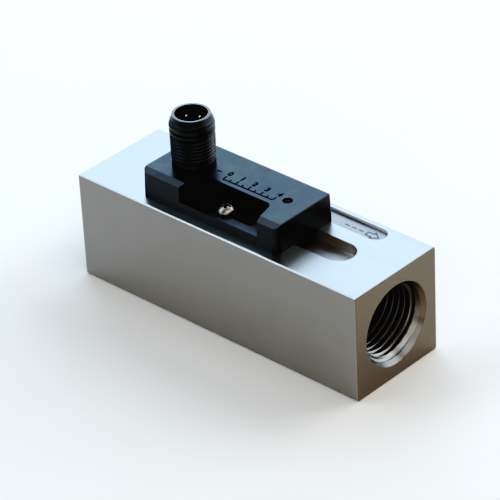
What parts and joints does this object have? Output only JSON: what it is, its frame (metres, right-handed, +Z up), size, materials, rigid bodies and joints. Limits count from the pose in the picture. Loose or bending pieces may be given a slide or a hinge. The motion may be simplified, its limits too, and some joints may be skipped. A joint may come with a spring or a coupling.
{
  "type": "inline magnetic flow monitor",
  "caption": "Square-bar inline flow monitor with threaded pipe ports, a sprung magnet piston inside and a sliding black switch head with a threaded plug, held by a clamp screw.",
  "frame": {"origin": "middle of the bar's flat underside", "axes": "+X along the bar, the way the liquid flows, from the inlet port to the outlet port; +Z up, towards the switch head; +Y away from the clamp screw's side"},
  "size_m": [0.0934, 0.03, 0.0526],
  "materials": {
    "body_metal": "satin, fine machined",
    "spring_steel": "bright spring steel",
    "screw_steel": "zinc plated",
    "seat_brass": "turned",
    "seal_rubber": "smooth",
    "piston_plastic": "natural acetal",
    "magnet_plating": "nickel plated",
    "housing_plastic": "satin moulded black",
    "connector_plastic": "satin moulded black",
    "carrier_plastic": "matt moulded black",
    "board_laminate": "green solder mask",
    "reed_glass": "clear greenish",
    "lead_metal": "tinned",
    "resistor_black": "matt",
    "lamp_lens": "tinted clear",
    "pin_gold": "gold plated"
  },
  "bodies": {
    "flow_tube": {"flow_body": "body_metal", "seat_ring": "seat_brass", "seat_seal": "seal_rubber", "inlet_retaining_ring": "spring_steel", "outlet_retaining_ring": "spring_steel", "spring_spider": "piston_plastic", "return_spring": "spring_steel"},
    "piston_unit": {"piston": "piston_plastic", "piston_magnet": "magnet_plating", "magnet_plug": "piston_plastic"},
    "switch_head": {"switch_housing": "housing_plastic", "base_cover": "housing_plastic", "circuit_board": "board_laminate", "reed_capsule": "reed_glass", "reed_leads": "lead_metal", "series_resistor": "resistor_black", "indicator_lamp": "lamp_lens", "connector_shell": "connector_plastic", "contact_carrier": "carrier_plastic", "contact_pins": "pin_gold"},
    "clamp_screw_unit": {"clamp_screw": "screw_steel"}
  },
  "joints": [
    {"name": "switch_slide", "type": "slide", "parent": "flow_tube", "child": "switch_head", "axis": [1, 0, 0], "range_m": [-0.008, 0.008]},
    {"name": "piston_slide", "type": "slide", "parent": "flow_tube", "child": "piston_unit", "axis": [1, 0, 0], "range_m": [0, 0.012], "stiffness_N_per_m": 95, "springref_m": -0.0095, "deforming": ["return_spring"]},
    {"name": "clamp_screw_turn", "type": "hinge", "parent": "flow_tube", "child": "clamp_screw_unit", "pos_m": [-0.00095, -0.0082, 0.033], "axis": [0, 0, 1], "range_deg": [0, 180]}
  ]
}
